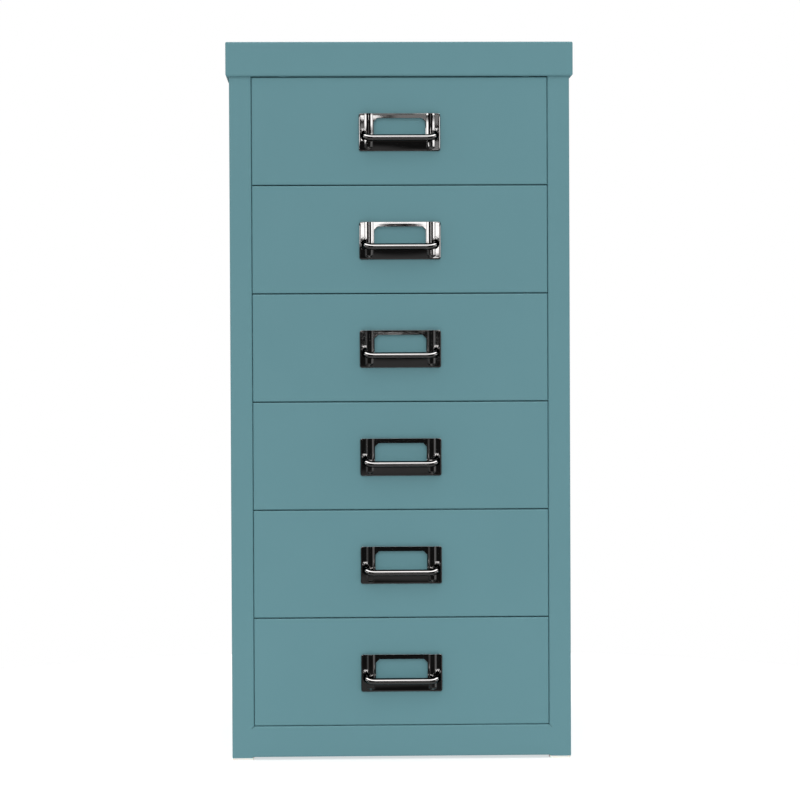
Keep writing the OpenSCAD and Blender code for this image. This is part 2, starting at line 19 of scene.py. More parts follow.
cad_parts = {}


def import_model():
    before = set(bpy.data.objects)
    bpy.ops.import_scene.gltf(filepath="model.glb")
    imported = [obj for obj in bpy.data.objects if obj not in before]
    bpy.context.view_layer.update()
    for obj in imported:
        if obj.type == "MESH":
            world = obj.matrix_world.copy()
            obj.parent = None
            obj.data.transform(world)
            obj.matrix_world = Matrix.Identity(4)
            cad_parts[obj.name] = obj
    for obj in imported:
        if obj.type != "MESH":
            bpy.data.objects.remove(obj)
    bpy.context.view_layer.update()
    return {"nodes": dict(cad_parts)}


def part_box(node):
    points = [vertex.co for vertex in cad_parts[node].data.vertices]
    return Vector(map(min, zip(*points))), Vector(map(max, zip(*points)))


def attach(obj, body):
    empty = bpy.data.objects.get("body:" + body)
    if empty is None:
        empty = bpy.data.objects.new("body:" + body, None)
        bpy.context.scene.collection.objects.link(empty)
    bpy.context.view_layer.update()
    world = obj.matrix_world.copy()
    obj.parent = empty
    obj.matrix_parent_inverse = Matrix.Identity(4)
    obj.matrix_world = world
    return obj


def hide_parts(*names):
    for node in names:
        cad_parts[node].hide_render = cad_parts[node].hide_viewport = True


LOG = logging.getLogger("cabinet")
MM = 0.001
SHARP = math.radians(50)
WHITE = (1.0, 1.0, 1.0, 1.0)
Colour = tuple[float, float, float]
Stretch = tuple[float, float, float]
Range = tuple[float, float]
Socket = bpy.types.NodeSocket


class Slot(Enum):
    """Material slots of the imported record."""

    PAINT = "cabinet_paint"
    ZINC = "zinc_steel"
    CHROME = "chrome"
    BALLS = "ball_steel"
    NYLON = "nylon"


# ---------------------------------------------------------------------------------------------
# Meshes
# ---------------------------------------------------------------------------------------------


def eased(share: np.ndarray) -> np.ndarray:
    """A share from 0 to 1 that starts and ends without a kink: three squares less two cubes."""
    return share ** 2 * (3 - 2 * share)


def grid_faces(rows: int, cols: int, wrap: bool = False) -> np.ndarray:
    """Quads of a grid of points stored row by row.

    Args:
        rows: Number of rows.
        cols: Number of columns.
        wrap: Whether the last column joins the first.

    Returns:
        An array of shape (quads, 4), in which a quad runs along its row first.
    """
    i, j = np.meshgrid(np.arange(rows - 1), np.arange(cols if wrap else cols - 1), indexing="ij")
    right = (j + 1) % cols
    quads = np.stack([i * cols + j, i * cols + right, (i + 1) * cols + right, (i + 1) * cols + j], -1)
    return quads.reshape(-1, 4)


def mesh_piece(name: str, points: np.ndarray, faces: list[list[int]], material: bpy.types.Material,
               body: str) -> bpy.types.Object:
    """Makes a smooth-shaded piece that rides on a body.

    Args:
        name: Name of the piece.
        points: Vertices in the frame's coordinates, in any shape that ends in three.
        faces: Vertex numbers of each face, counter-clockwise seen from outside.
        material: Finish of the piece.
        body: Name of the body that it rides on.

    Returns:
        The new object, which sits at the origin.
    """
    mesh = bpy.data.meshes.new(name)
    mesh.from_pydata(points.reshape(-1, 3).tolist(), [], faces)
    mesh.validate()
    mesh.shade_smooth()
    mesh.materials.append(material)
    piece = bpy.data.objects.new(name, mesh)
    bpy.context.scene.collection.objects.link(piece)
    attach(piece, body)
    LOG.info("%s: %d vertices on %s", name, len(mesh.vertices), body)
    return piece


def add_modifier(piece: bpy.types.Object, kind: str, **values: object) -> None:
    """Adds a modifier.

    Args:
        piece: The object that gets it.
        kind: Its kind.
        values: Its settings, by name.
    """
    modifier = piece.modifiers.new(kind.title(), kind)
    for key, value in values.items():
        setattr(modifier, key, value)


def ease_edges(piece: bpy.types.Object, width: float) -> None:
    """Rounds a piece's sharp edges over a width."""
    add_modifier(piece, "BEVEL", width=width, segments=2, limit_method="ANGLE", angle_limit=SHARP)


def stamped(centres: np.ndarray, normals: np.ndarray, radii: np.ndarray, heights: np.ndarray,
            sides: int = 16) -> tuple[np.ndarray, list[list[int]]]:
    """Repeats one small turned form, such as a rivet head or a weld mark, on many centres.

    The form is a profile turned about a normal n: a point is centre + r (cos a u + sin a v) + h n,
    where u and v are square to n. The first ring lies a little below the surface and is closed by a
    flat polygon, and the last ring is closed by a fan to its middle.

    Args:
        centres: Middle of each copy, shape (n, 3).
        normals: Direction in which each copy stands out, shape (n, 3), none of them along Z.
        radii: Radius of each ring.
        heights: Height of each ring over the surface.
        sides: Points of a ring.

    Returns:
        The vertices and the faces.
    """
    u = np.cross(normals, [0.0, 0.0, 1.0])
    v = np.cross(normals, u)
    angle = np.linspace(0, 2 * np.pi, sides, endpoint=False)
    ring = np.cos(angle)[:, None] * u[:, None, :] + np.sin(angle)[:, None] * v[:, None, :]
    rings = (centres[:, None, None, :] + radii[:, None, None] * ring[:, None]
             + heights[:, None, None] * normals[:, None, None, :])
    crown = rings[:, -1].mean(1, keepdims=True)
    points = np.concatenate([rings.reshape(len(centres), -1, 3), crown], 1)
    last = (len(radii) - 1) * sides
    edge = np.arange(sides)
    fan = np.stack([last + edge, last + np.roll(edge, -1), np.full(sides, last + sides)], -1)
    starts = np.arange(len(centres))[:, None, None] * points.shape[1]
    faces = []
    for part in (grid_faces(len(radii), sides, wrap=True), fan, edge[None, ::-1]):
        faces += (starts + part).reshape(-1, part.shape[1]).tolist()
    return points.reshape(-1, 3), faces


# ---------------------------------------------------------------------------------------------
# Finishes
# ---------------------------------------------------------------------------------------------


@dataclass(frozen=True)
class Clouds:
    """Cloudy noise over a piece's own coordinates.

    It has a count of features in a metre and of octaves of finer noise, factors on the coordinates,
    of which a small one draws the noise out along its axis, and a measure of how far it bends them.
    """

    per_metre: float
    detail: float = 2.0
    stretch: Stretch = (1.0, 1.0, 1.0)
    distortion: float = 0.0


class NodeSketch:
    """Short calls for the nodes of a tree."""

    def __init__(self, owner: bpy.types.Material | bpy.types.World) -> None:
        """Starts with an empty tree.

        Args:
            owner: The material or world that the tree belongs to.
        """
        owner.use_nodes = True
        self.nodes = owner.node_tree.nodes
        self.links = owner.node_tree.links
        self.nodes.clear()

    def spread(self, value: Socket, low: float, high: float, start: float = 0.3, end: float = 0.7,
               smooth: bool = False) -> Socket:
        """Carries a value's range over to another and holds the result there.

        The default range is the one that cloudy noise mostly keeps to.

        Args:
            value: The value.
            low: Result where the value is start.
            high: Result where the value is end.
            start: Beginning of the value's range.
            end: End of the value's range.
            smooth: Whether the result is eased at both ends.

        Returns:
            The result.
        """
        node = self.nodes.new("ShaderNodeMapRange")
        if smooth:
            node.interpolation_type = "SMOOTHSTEP"
        node.inputs["From Min"].default_value = start
        node.inputs["From Max"].default_value = end
        node.inputs["To Min"].default_value = low
        node.inputs["To Max"].default_value = high
        self.links.new(value, node.inputs["Value"])
        return node.outputs["Result"]

    def between(self, value: Socket, low: float, high: float, soft: float) -> Socket:
        """A share that is 1 between two values and falls to 0 outside them.

        Args:
            value: The value.
            low: The lower bound.
            high: The upper bound.
            soft: How far the edge reaches to either side of a bound.

        Returns:
            The share.
        """
        rise = self.spread(value, 0.0, 1.0, low - soft, low + soft, smooth=True)
        fall = self.spread(value, 1.0, 0.0, high - soft, high + soft, smooth=True)
        return self.math("MULTIPLY", rise, fall)

    def math(self, operation: str, *terms: Socket | float) -> Socket:
        """Applies an operation.

        Args:
            operation: Its name.
            terms: Sockets or plain numbers.

        Returns:
            The result.
        """
        node = self.nodes.new("ShaderNodeMath")
        node.operation = operation
        for socket, term in zip(node.inputs, terms):
            if isinstance(term, (int, float)):
                socket.default_value = term
            else:
                self.links.new(term, socket)
        return node.outputs["Value"]


class ShaderSketch(NodeSketch):
    """A new material with a Principled shader."""

    def __init__(self, name: str) -> None:
        """Starts the material.

        Args:
            name: Name of the material.
        """
        self.material = bpy.data.materials.new(name)
        super().__init__(self.material)
        output = self.nodes.new("ShaderNodeOutputMaterial")
        self.shader = self.nodes.new("ShaderNodeBsdfPrincipled")
        self.links.new(self.shader.outputs["BSDF"], output.inputs["Surface"])
        self.place = self.nodes.new("ShaderNodeTexCoord").outputs["Object"]

    def set(self, **values: object) -> None:
        """Sets values on the shader's own sockets; an underscore stands for a space."""
        for key, value in values.items():
            self.shader.inputs[key.replace("_", " ")].default_value = value

    def feed(self, socket: str, source: Socket) -> None:
        """Joins a source to one of the shader's sockets."""
        self.links.new(source, self.shader.inputs[socket])

    def noise(self, clouds: Clouds) -> Socket:
        """Cloudy noise over the piece's own coordinates.

        Args:
            clouds: The noise's measures.

        Returns:
            The noise, from 0 to 1.
        """
        mapping = self.nodes.new("ShaderNodeMapping")
        mapping.inputs["Scale"].default_value = clouds.stretch
        self.links.new(self.place, mapping.inputs["Vector"])
        noise = self.nodes.new("ShaderNodeTexNoise")
        noise.inputs["Scale"].default_value = clouds.per_metre
        noise.inputs["Detail"].default_value = clouds.detail
        noise.inputs["Distortion"].default_value = clouds.distortion
        self.links.new(mapping.outputs["Vector"], noise.inputs["Vector"])
        return noise.outputs["Fac"]

    def tint(self, clouds: Clouds, thin: Colour, thick: Colour) -> None:
        """Gives the shader a colour that follows clouds.

        Args:
            clouds: The clouds' measures.
            thin: Colour where they are thin.
            thick: Colour where they are thick.
        """
        node = self.nodes.new("ShaderNodeMix")
        node.data_type = "RGBA"
        node.inputs["A"].default_value = (*thin, 1.0)
        node.inputs["B"].default_value = (*thick, 1.0)
        self.links.new(self.spread(self.noise(clouds), 0.0, 1.0), node.inputs["Factor"])
        self.feed("Base Color", node.outputs["Result"])

    def roughen(self, noise: Socket, limits: Range) -> None:
        """Gives the shader a roughness that follows a noise between two limits."""
        self.feed("Roughness", self.spread(noise, *limits))

    def sum(self, a: Socket, b: Socket, share: float) -> Socket:
        """Adds a share of b to a."""
        return self.math("MULTIPLY_ADD", b, share, a)

    def bump(self, height: Socket, strength: float, depth: float) -> None:
        """Gives the shader a relief.

        Args:
            height: Height of the relief, from 0 to 1.
            strength: Share of the relief that shows.
            depth: Depth of the relief in metres.
        """
        node = self.nodes.new("ShaderNodeBump")
        node.inputs["Strength"].default_value = strength
        node.inputs["Distance"].default_value = depth
        self.links.new(height, node.inputs["Height"])
        self.feed("Normal", node.outputs["Normal"])


def scaled(colour: Colour, factor: float) -> Colour:
    """A colour made lighter or darker."""
    return tuple(min(1.0, c * factor) for c in colour)


@dataclass(frozen=True)
class PowderCoat:
    """Satin powder coat with a fine orange peel."""

    name: str = "satin_powder_coat"
    colour: Colour = (0.1015, 0.231, 0.2595)
    mottle: float = 0.012
    mist: Clouds = Clouds(9.0, detail=4.0)
    handling: Clouds = Clouds(28.0, detail=5.0, distortion=0.4)
    roughness: Range = (0.38, 0.47)
    peel: Clouds = Clouds(650.0, detail=1.0)
    grain: Clouds = Clouds(3250.0, detail=1.0)
    grain_share: float = 0.25
    relief: float = 0.35
    depth: float = 0.025 * MM

    def material(self) -> bpy.types.Material:
        """Builds the finish: faint clouds in the colour, and peel and grain in the relief.

        Returns:
            The new material.
        """
        sketch = ShaderSketch(self.name)
        sketch.tint(self.mist, scaled(self.colour, 1.0 - self.mottle),
                    scaled(self.colour, 1.0 + self.mottle))
        sketch.roughen(sketch.noise(self.handling), self.roughness)
        relief = sketch.sum(sketch.noise(self.peel), sketch.noise(self.grain), self.grain_share)
        sketch.bump(relief, self.relief, self.depth)
        sketch.set(IOR=1.48, Specular_IOR_Level=0.45)
        return sketch.material


@dataclass(frozen=True)
class ChromePlate:
    """Bright chrome over a pressing: nearly a mirror, with soft unevenness and faint wipe marks."""

    name: str = "bright_chrome"
    colour: Colour = (0.385, 0.375, 0.370)
    dullest: float = 0.94
    haze: Clouds = Clouds(140.0, detail=5.0, distortion=0.8)
    wipes: Clouds = Clouds(900.0, detail=3.0, stretch=(0.15, 1.0, 1.6))
    roughness: Range = (0.015, 0.08)
    wave: Clouds = Clouds(120.0, detail=1.0)
    wipe_share: float = 0.02
    relief: float = 0.25
    depth: float = 0.05 * MM

    def material(self) -> bpy.types.Material:
        """Builds the finish: a slow wave from the press and fine marks from wiping.

        Returns:
            The new material.
        """
        sketch = ShaderSketch(self.name)
        sketch.tint(self.haze, scaled(self.colour, self.dullest), self.colour)
        wipes = sketch.noise(self.wipes)
        sketch.roughen(wipes, self.roughness)
        sketch.bump(sketch.sum(sketch.noise(self.wave), wipes, self.wipe_share), self.relief, self.depth)
        sketch.set(Metallic=1.0)
        return sketch.material


@dataclass(frozen=True)
class ZincPlate:
    """Bright zinc on roll-formed steel: streaks along the rolling direction and a warm-cool haze."""

    name: str = "bright_zinc"
    cool: Colour = (0.52, 0.55, 0.59)
    warm: Colour = (0.62, 0.60, 0.54)
    haze: Clouds = Clouds(22.0, detail=4.0, stretch=(1.0, 0.35, 1.0))
    rolled: Clouds = Clouds(1400.0, detail=3.0, stretch=(1.0, 0.012, 1.0))
    roughness: Range = (0.22, 0.42)
    relief: float = 0.4
    depth: float = 0.02 * MM

    def material(self) -> bpy.types.Material:
        """Builds the finish: haze in the colour, roll marks along Y in roughness and relief.

        Returns:
            The new material.
        """
        sketch = ShaderSketch(self.name)
        sketch.tint(self.haze, self.cool, self.warm)
        rolled = sketch.noise(self.rolled)
        sketch.roughen(rolled, self.roughness)
        sketch.bump(rolled, self.relief, self.depth)
        sketch.set(Metallic=1.0)
        return sketch.material


@dataclass(frozen=True)
class BallSteel:
    """Polished hardened steel under a film of oil."""

    name: str = "polished_ball_steel"
    colour: Colour = (0.60, 0.61, 0.63)
    dullest: float = 0.9
    film: Clouds = Clouds(300.0)
    wear: Clouds = Clouds(1800.0)
    roughness: Range = (0.06, 0.16)

    def material(self) -> bpy.types.Material:
        """Builds the finish: a mirror with fine wear and an oily coat.

        Returns:
            The new material.
        """
        sketch = ShaderSketch(self.name)
        sketch.tint(self.film, scaled(self.colour, self.dullest), self.colour)
        sketch.roughen(sketch.noise(self.wear), self.roughness)
        sketch.set(Metallic=1.0, Coat_Weight=0.35, Coat_Roughness=0.12)
        return sketch.material


@dataclass(frozen=True)
class NaturalNylon:
    """Undyed moulded nylon: milky, a little translucent and faintly cloudy."""

    name: str = "natural_nylon"
    colour: Colour = (0.80, 0.79, 0.73)
    darkest: float = 0.93
    milk: Clouds = Clouds(60.0, detail=3.0)
    grain: Clouds = Clouds(2600.0)
    roughness: Range = (0.40, 0.53)
    relief: float = 0.25
    depth: float = 0.02 * MM

    def material(self) -> bpy.types.Material:
        """Builds the finish: cloudy colour, spark-eroded grain and light that enters the skin.

        Returns:
            The new material.
        """
        sketch = ShaderSketch(self.name)
        sketch.tint(self.milk, scaled(self.colour, self.darkest), self.colour)
        grain = sketch.noise(self.grain)
        sketch.roughen(grain, self.roughness)
        sketch.bump(grain, self.relief, self.depth)
        sketch.set(Subsurface_Weight=0.25, Subsurface_Scale=0.002, IOR=1.53)
        return sketch.material


@dataclass(frozen=True)
class StudioFloor:
    """Opal table top, lit a little from below."""

    name: str = "opal_table"
    colour: Colour = (0.60, 0.60, 0.60)
    darkest: float = 0.985
    fibre: Clouds = Clouds(40.0, detail=4.0)
    glow: float = 0.58

    def material(self) -> bpy.types.Material:
        """Builds the finish: a matt white with a trace of cloudiness and a soft glow.

        Returns:
            The new material.
        """
        sketch = ShaderSketch(self.name)
        sketch.tint(self.fibre, scaled(self.colour, self.darkest), self.colour)
        sketch.set(Roughness=0.9, Specular_IOR_Level=0.1, Emission_Strength=self.glow,
                   Emission_Color=WHITE)
        return sketch.material


class Palette:
    """The finishes of the cabinet, one for each material slot."""

    def __init__(self) -> None:
        """Builds each finish once."""
        finishes = {Slot.PAINT: PowderCoat(), Slot.ZINC: ZincPlate(), Slot.CHROME: ChromePlate(),
                    Slot.BALLS: BallSteel(), Slot.NYLON: NaturalNylon()}
        self.by_slot = {slot: finish.material() for slot, finish in finishes.items()}

    def of(self, slot: Slot) -> bpy.types.Material:
        """The finish of a slot."""
        return self.by_slot[slot]

    def dress(self, node: bpy.types.Object, slot: Slot) -> None:
        """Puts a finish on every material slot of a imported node.

        Args:
            node: The node's object.
            slot: The record's slot that the finish stands for.
        """
        for place in node.material_slots:
            place.material = self.of(slot)
        LOG.info("%s: dressed in %s", node.name, self.of(slot).name)


# ---------------------------------------------------------------------------------------------
# Pulls
# ---------------------------------------------------------------------------------------------


@dataclass
class PressedPull:
    """A chrome pull: card plate with two ridges and a leaning band, round bow and four holding tabs.

    Places are worked out in the drawer's own terms: x across, z up from the plate's middle, and
    "out", the distance in front of the drawer's face.
    """

    number: int
    material: bpy.types.Material
    # plate and its rim
    face_out: float = 2.3 * MM
    sheet: float = 0.8 * MM
    plate_ease: float = 0.2 * MM
    side_radius: float = 1.2 * MM
    foot_radius: float = 1.0 * MM
    top_radius: float = 0.05 * MM
    corner_radius: float = 1.8 * MM
    corner_block: float = 3.0 * MM
    # card window
    window_w: float = 42.6 * MM
    window_h: float = 17.0 * MM
    window_top: float = 3.8 * MM
    window_bevel: float = 3.0 * MM
    # ridges
    ridge_span: float = 50.8 * MM
    ridge_w: float = 7.0 * MM
    ridge_rise: float = 1.7 * MM
    ridge_fillet: float = 0.4 * MM
    ridge_taper: float = 1.9 * MM
    ridge_foot: float = 1.2 * MM
    # leaning band and the press's unevenness, given by its middle x and its slope in degrees
    band_top: float = -1.0 * MM
    band_arc: float = 103.0 * MM
    left_lean: float = 0.5
    wave_length: float = 90.0 * MM
    wave_drop: float = 27.0 * MM
    wave_inset: float = 0.36 * MM
    waves: tuple[Range, ...] = (
        (-26.0 * MM, -1.05), (0.0, 0.8), (-6.0 * MM, 0.3), (-10.0 * MM, 0.3), (16.0 * MM, 0.3),
        (-26.0 * MM, 0.3))
    # bow
    bow_radius: float = 2.6 * MM
    bow_span: float = 58.6 * MM
    bow_bend: float = 6.5 * MM
    bow_drop: float = 4.1 * MM
    bow_root_drop: float = 1.2 * MM
    bow_sink: float = 0.3 * MM
    flare: float = 1.0 * MM
    arm_rise: float = 1.6 * MM
    arm_power: float = 0.75
    # tabs
    tab_w: float = 5.0 * MM
    tab_l: float = 4.0 * MM
    tab_rise: float = 11.0 * MM
    tab_bend: float = 0.96 * MM
    tab_ease: float = 0.15 * MM
    front_sheet: float = 0.8 * MM
    # spacing and counts of the grids' lines
    step: float = 0.5 * MM
    band_step: float = 0.3 * MM
    rim_lines: int = 11
    block_lines: int = 10
    ridge_lines: int = 29
    strip_lines: int = 6
    bend_lines: int = 14
    bar_lines: int = 10
    bow_sides: int = 32
    tab_lines: int = 7
    # read from the frame
    node: str = field(init=False)
    body: str = field(init=False)
    front: float = field(init=False)
    half_w: float = field(init=False)
    half_h: float = field(init=False)
    middle_z: float = field(init=False)
    reach: float = field(init=False)

    def __post_init__(self) -> None:
        """Reads the solid's place from the frame."""
        self.node = f"drawer_{self.number}_pull"
        self.body = f"drawer_{self.number}"
        self.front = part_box(f"drawer_{self.number}_front")[0].y
        low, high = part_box(self.node)
        self.half_w = (high.x - low.x) / 2
        self.half_h = (high.z - low.z) / 2
        self.middle_z = (high.z + low.z) / 2
        self.reach = self.front - low.y

    def build(self) -> None:
        """Makes the plate, the bow and the tabs in place of the plain solid.

        The plate is kept out of mirror rays, so the bow's arms stay dark.
        """
        plate = self.plate()
        plate.visible_glossy = False
        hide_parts(self.node)
        self.bow()
        self.tabs()

    def placed(self, x: np.ndarray, out: np.ndarray, z: np.ndarray) -> np.ndarray:
        """Turns the pull's own terms into points of the frame."""
        return np.stack([x, self.front - out, self.middle_z + z], -1)

    def rim_insets(self) -> np.ndarray:
        """Insets of the grid's rings from the plate's outline.

        Ring 0 is the foot of the rim on the drawer's face and ring 1 the edge itself. The others
        follow the sides' round edge by even angles and end on the flat face.

        Returns:
            The insets, from ring 0 inwards.
        """
        turn = np.linspace(0, np.pi / 2, self.rim_lines)
        flat = np.linspace(self.side_radius, self.corner_block, self.block_lines)[1:]
        return np.concatenate([[0.0], self.side_radius * (1 - np.cos(turn)), flat])

    def rim_height(self, inset: np.ndarray, radius: np.ndarray) -> np.ndarray:
        """Distance out of the rim: a quarter circle of the given radius, then the flat face."""
        left = np.clip(radius - inset, 0.0, None)
        return self.face_out - radius + np.sqrt(np.maximum(radius ** 2 - left ** 2, 0.0))

    def columns(self, inset: np.ndarray) -> np.ndarray:
        """Places of the grid's columns, closest together over the ridges' flanks.

        Args:
            inset: Insets of the rings.

        Returns:
            The columns' x, from left to right.
        """
        across = self.ridge_span / 2 + self.ridge_w / 2 * np.linspace(-1.0, 1.0, self.ridge_lines)
        window = self.window_w / 2
        band = np.linspace(across[-1], self.half_w - self.corner_block, self.strip_lines)[1:-1]
        inner = np.linspace(window, across[0], self.strip_lines - 1)[:-1]
        middle = np.linspace(-window, window, int(self.window_w / self.step) + 1)[1:-1]
        right = np.concatenate([inner, across, band, (self.half_w - inset)[::-1]])
        return np.concatenate([-right[::-1], middle, right])

    def rows(self, inset: np.ndarray) -> np.ndarray:
        """Places of the grid's rows, with lines on the window's edges and dense over the band.

        Args:
            inset: Insets of the rings.

        Returns:
            The rows' z, from the upper edge down.
        """
        top = self.half_h - self.window_top
        low = top - self.window_h
        upper = np.linspace(self.half_h - self.corner_block, top, self.strip_lines)[1:-1]
        window = np.linspace(top, low, int(round(self.window_h / self.step)) + 1)
        floor = self.corner_block - self.half_h
        lower = np.linspace(low, floor, int((low - floor) / self.band_step))[1:-1]
        return np.concatenate([self.half_h - inset, upper, window, lower, (inset - self.half_h)[::-1]])

    def ridge_height(self, x: np.ndarray, z: np.ndarray) -> np.ndarray:
        """Height of the ridges over the plate's face.

        A ridge is the front of a spindle whose axis lies behind the plate, run out into the face by
        a round fillet. It is open at the plate's upper edge. The spindle's radius falls evenly over
        its tapered foot, to where its height over the face is nothing.

        Args:
            x: Places across.
            z: Places up.

        Returns:
            The height at each place.
        """
        off = np.abs(np.abs(x) - self.ridge_span / 2)
        half, rise, fillet = self.ridge_w / 2, self.ridge_rise, self.ridge_fillet
        end = z + self.half_h - self.ridge_foot
        # a fillet that ends at the ridge's half width touches a circle of this radius
        full_r = ((half ** 2 + rise ** 2) / 2 - fillet * rise) / rise
        sink = full_r - rise
        r = sink + rise * np.clip(end / self.ridge_taper, 0.0, 1.0)
        tangent = np.sqrt(np.maximum((r + fillet) ** 2 - (sink + fillet) ** 2, 0.0))
        meet = tangent * r / (r + fillet)
        circle = np.sqrt(np.maximum(r ** 2 - off ** 2, 0.0)) - sink
        run_out = fillet - np.sqrt(np.maximum(fillet ** 2 - (tangent - off) ** 2, 0.0))
        full = np.where(off < meet, circle, np.where(off < tangent, run_out, 0.0))
        return np.maximum(full, 0.0)

    def lean(self, x: np.ndarray, z: np.ndarray) -> np.ndarray:
        """How far the band between the ridges leans back to the drawer below the window.

        Along z it is an arc that starts behind the bar. It fades out over the ridges' inner halves,
        but a share of it runs on to the plate's left edge.

        Args:
            x: Places across.
            z: Places up.

        Returns:
            The distance back at each place.
        """
        below = np.clip(self.band_top - z, 0.0, None)
        fade = np.clip((self.ridge_span / 2 - np.abs(x)) / (self.ridge_w / 2), 0.0, 1.0)
        beside = np.where(x < 0, self.left_lean, 0.0)
        return below ** 2 / (2 * self.band_arc) * (beside + (1 - beside) * eased(fade))

    def wave_height(self, x: np.ndarray, z: np.ndarray) -> np.ndarray:
        """Slow unevenness that the press leaves in the sheet, different on every pull.

        It is a sine of z times a cosine of x, sized by the steepest slope in degrees.

        Args:
            x: Places across.
            z: Places up.

        Returns:
            The height at each place.
        """
        centre, slope = self.waves[self.number - 1]
        tall = math.tan(math.radians(slope)) * self.wave_drop / (2 * math.pi)
        return tall * np.sin(2 * np.pi * z / self.wave_drop) * np.cos(
            2 * np.pi * (x - centre) / self.wave_length)

    def rounded_corner(self, inset: np.ndarray) -> tuple[np.ndarray, np.ndarray, np.ndarray]:
        """Places of a corner block's vertices, measured inwards from the plate's two edges.

        Vertex (i, j) lies on ring min(i, j), which follows the outline at that ring's inset: straight
        along both sides and round the corner on an arc. Its share of the way from the block's side to
        the corner's middle sets its place on the ring.

        Args:
            inset: Insets of the rings.

        Returns:
            Inset from the side edge, inset from the upper edge, and how far the ring has turned from
            the side (0) to the upper edge (1), for rows j and columns i.
        """
        n = len(inset)
        j, i = np.meshgrid(np.arange(n), np.arange(n), indexing="ij")
        ring = np.minimum(i, j)
        far = np.maximum(i, j)
        d = inset[ring]
        radius = np.maximum(self.corner_radius - d, 0.0)
        straight = self.corner_block - d - radius
        length = straight + radius * np.pi / 4
        share = (n - 1 - far) / np.maximum(n - 1 - ring, 1)
        way = share * length
        turn = np.where(radius > 0, np.maximum(way - straight, 0.0) / np.maximum(radius, 1e-9), 0.0)
        near = d + radius * (1 - np.cos(turn))
        along = np.where(way < straight, self.corner_block - way, d + radius * (1 - np.sin(turn)))
        along = np.where(radius > 0, along, self.corner_block - way)
        side = i <= j
        turned = np.where(side, 0.5 * share, 1 - 0.5 * share)
        return np.where(side, near, along), np.where(side, along, near), turned

    def plate(self) -> bpy.types.Object:
        """The pressed plate: one sheet over a grid, with its rim, ridges, leaning band and window.

        Its sides and its foot are bent back to the drawer on round edges, and its upper edge is cut.
        The height at a point is the rim's, less its share of the lean, and the ridges' and the
        wave's on top.

        Returns:
            The plate.
        """
        inset = self.rim_insets()
        n = len(inset)
        xs, zs = self.columns(inset), self.rows(inset)
        x, z = np.meshgrid(xs, zs)
        i = np.minimum(np.arange(len(xs)), np.arange(len(xs))[::-1])
        j = np.minimum(np.arange(len(zs)), np.arange(len(zs))[::-1])
        ring = np.minimum(np.minimum.outer(j, i), n - 1)
        end_radius = np.where(z > 0, self.top_radius, self.foot_radius)
        radius = np.where(np.less.outer(j, i), end_radius, self.side_radius)
        side, upper, turned = self.rounded_corner(inset)
        for right in (False, True):
            for low in (False, True):
                cols = slice(-1, -n - 1, -1) if right else slice(0, n)
                rows = slice(-1, -n - 1, -1) if low else slice(0, n)
                end = self.foot_radius if low else self.top_radius
                x[rows, cols] = (self.half_w - side) * (1 if right else -1)
                z[rows, cols] = (self.half_h - upper) * (-1 if low else 1)
                radius[rows, cols] = self.side_radius + (end - self.side_radius) * eased(turned)
        out = np.where(ring == 0, 0.0, self.rim_height(inset[ring], radius))
        out = out * (1 - self.lean(x, z) / self.face_out)
        fade = np.clip((inset[ring] - self.wave_inset) / self.side_radius, 0.0, 1.0)
        pressed = self.ridge_height(x, z) + self.wave_height(x, z) * fade
        points = self.placed(x, out + np.where(ring > 0, pressed, 0.0), z)
        quads = grid_faces(len(zs), len(xs)).reshape(len(zs) - 1, len(xs) - 1, 4)
        keep, bevel = self.window_cells(xs, zs)
        # the upper edge is cut, so no rim runs back from it
        keep[0] = False
        faces = quads[keep][:, ::-1].tolist() + self.bevel_faces(quads, bevel)
        piece = mesh_piece(f"pull_plate_{self.number}", points, faces, self.material, self.body)
        add_modifier(piece, "SOLIDIFY", thickness=self.sheet, offset=-1.0)
        ease_edges(piece, self.plate_ease)
        return piece

    def window_cells(self, xs: np.ndarray, zs: np.ndarray) -> tuple[np.ndarray, np.ndarray]:
        """Marks the grid's cells outside the card window, and those cut by its bevels.

        Args:
            xs: The columns' x.
            zs: The rows' z.

        Returns:
            Two arrays of cells: those kept whole, and those kept as a triangle.
        """
        top = self.half_h - self.window_top
        low = top - self.window_h
        cx = np.abs((xs[1:] + xs[:-1]) / 2)[None, :]
        cz = ((zs[1:] + zs[:-1]) / 2)[:, None]
        inside = (cx < self.window_w / 2) & (cz < top) & (cz > low)
        over = cx - (self.window_w / 2 - self.window_bevel) + cz - (top - self.window_bevel)
        past = over - self.window_bevel
        # the middle of a cell on a bevel lies on it, and the next ones are a step away
        slack = 0.3 * self.step
        return ~inside | (past > slack), inside & (np.abs(past) < slack)

    def bevel_faces(self, quads: np.ndarray, bevel: np.ndarray) -> list[list[int]]:
        """Triangles that fill the outer halves of the cells on the bevels.

        Args:
            quads: The grid's quads, by row and column.
            bevel: Which cells lie on a bevel.

        Returns:
            The triangles.
        """
        rows, cols = np.nonzero(bevel)
        cells = quads[rows, cols]
        left = cols < quads.shape[1] // 2
        return np.where(left[:, None], cells[:, [3, 1, 0]], cells[:, [2, 1, 0]]).tolist()

